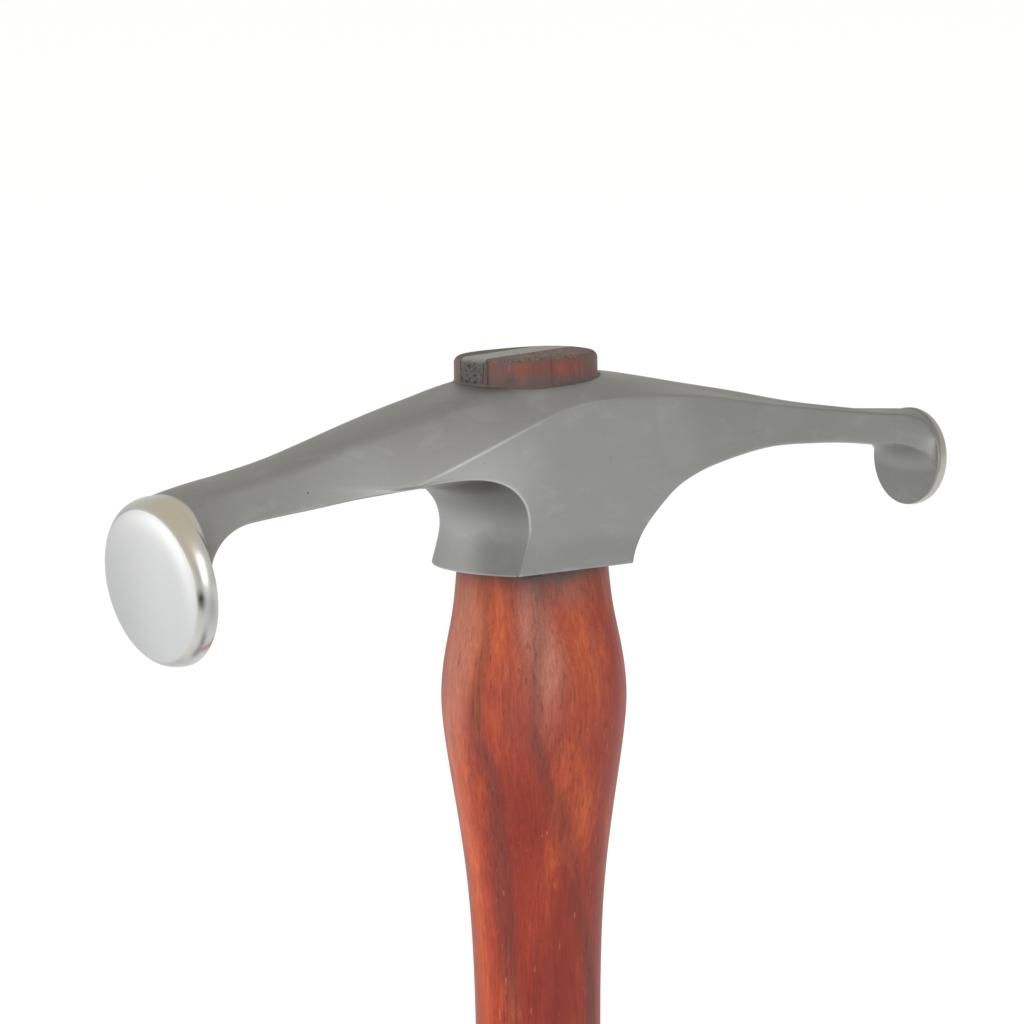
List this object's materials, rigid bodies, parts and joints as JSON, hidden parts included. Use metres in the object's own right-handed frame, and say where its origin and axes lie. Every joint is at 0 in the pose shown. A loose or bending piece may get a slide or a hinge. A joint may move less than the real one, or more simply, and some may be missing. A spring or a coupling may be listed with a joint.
{
  "type": "planishing hammer",
  "caption": "Planishing hammer: slim forged steel head with a large and a small flat round face, wedged on a turned red hardwood handle that swells below the head.",
  "frame": {"origin": "centre of the flat at the handle's butt", "axes": "+Z along the handle up to the head, +X along the head from the large face to the small face, +Y across the head from cheek to cheek"},
  "size_m": [0.1526, 0.0256, 0.2526],
  "materials": {
    "head_steel": "satin, lightly blasted, with the two round faces polished bright",
    "handle_wood": "red-orange hardwood with dark streaks, oiled, satin",
    "wedge_grey": "light grey and smooth on top, darker and porous at its end",
    "dark_resin": "dull dark grey cured resin"
  },
  "bodies": {
    "root": {"hammer_head": "head_steel", "handle": "handle_wood", "tenon_wedge": "wedge_grey", "bedding_resin": "dark_resin"}
  },
  "joints": []
}
